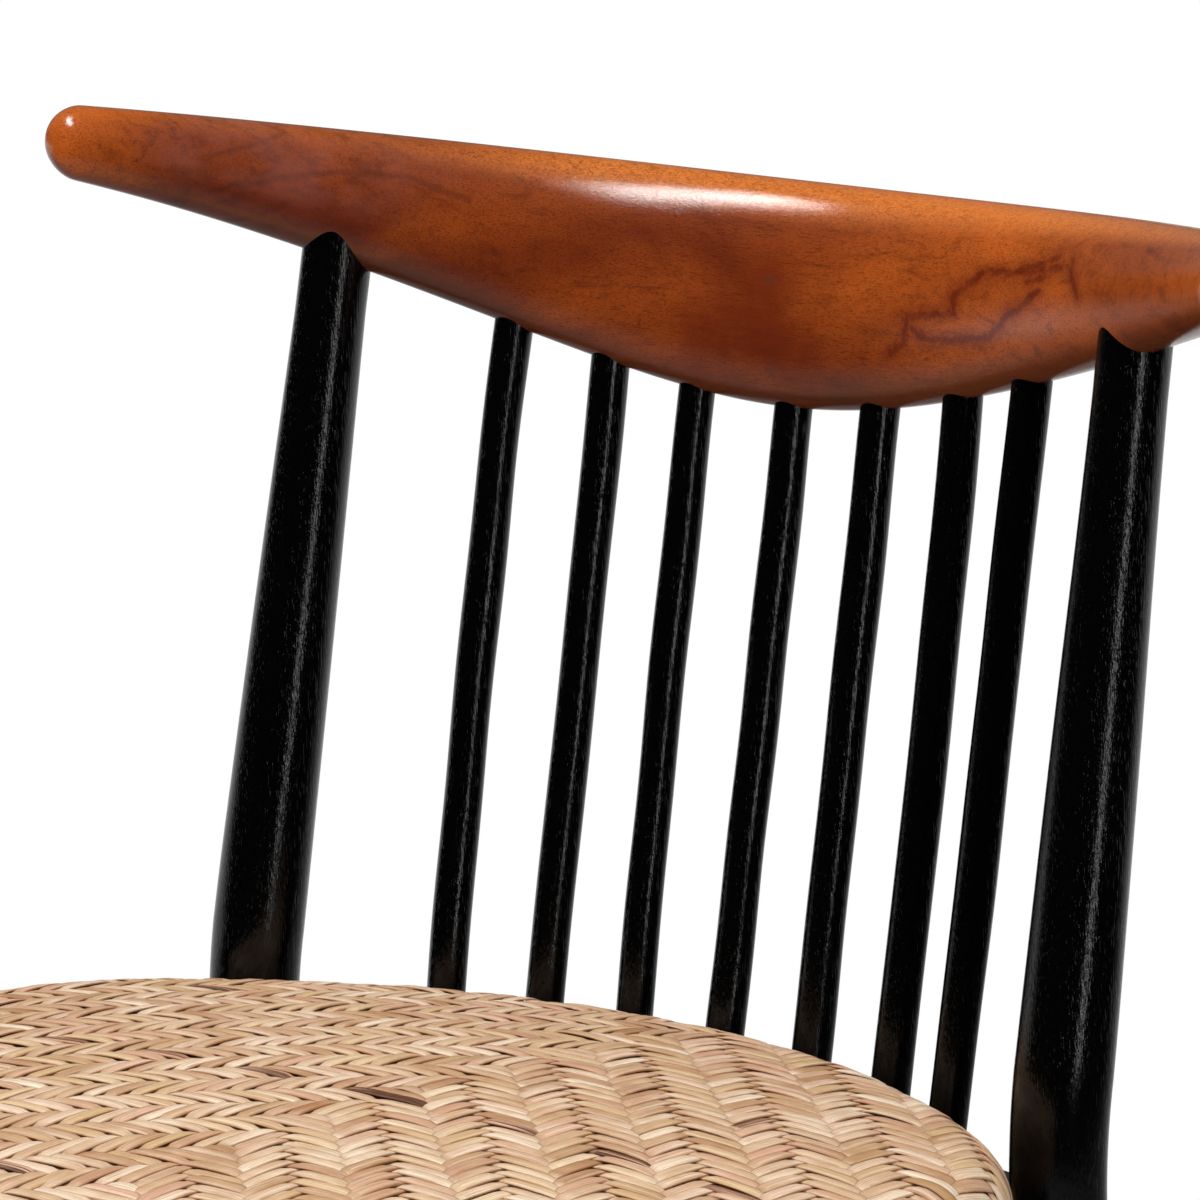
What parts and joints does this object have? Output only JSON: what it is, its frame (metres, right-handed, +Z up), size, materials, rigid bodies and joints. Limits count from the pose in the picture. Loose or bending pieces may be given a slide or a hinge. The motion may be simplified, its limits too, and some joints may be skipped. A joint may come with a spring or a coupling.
{
  "type": "dining chair",
  "caption": "Dining chair with a bull-horn crest rail, a spindle back, tapered legs, round stretchers and a crowned woven rattan seat.",
  "frame": {"origin": "on the floor, under the middle of the chair's bounding box", "axes": "+Z up; the chair faces -Y; +X is on the right as seen from the front"},
  "size_m": [0.5654, 0.5394, 0.7738],
  "materials": {
    "stained_wood": "gloss",
    "black_wood": "satin",
    "raw_wood": "matte",
    "rattan": "matte",
    "foam": "matte",
    "steel": "satin",
    "glide": "matte"
  },
  "bodies": {
    "root": {"crest_rail": "stained_wood", "rear_leg_left": "black_wood", "rear_leg_right": "black_wood", "spindle_1": "black_wood", "spindle_2": "black_wood", "spindle_3": "black_wood", "spindle_4": "black_wood", "spindle_5": "black_wood", "spindle_6": "black_wood", "spindle_7": "black_wood", "front_leg_left": "black_wood", "front_leg_right": "black_wood", "rear_seat_rail": "black_wood", "front_seat_rail": "black_wood", "side_seat_rail_left": "black_wood", "side_seat_rail_right": "black_wood", "corner_block_front_left": "raw_wood", "corner_block_front_right": "raw_wood", "corner_block_rear_left": "raw_wood", "corner_block_rear_right": "raw_wood", "seat_board": "raw_wood", "seat_padding": "foam", "woven_seat_cover": "rattan", "side_stretcher_left": "black_wood", "side_stretcher_right": "black_wood", "cross_stretcher": "black_wood", "rail_dowels": "raw_wood", "corner_block_screws": "steel", "seat_screws": "steel", "foot_glide_front_left": "glide", "foot_glide_front_right": "glide", "foot_glide_rear_left": "glide", "foot_glide_rear_right": "glide"}
  },
  "joints": []
}
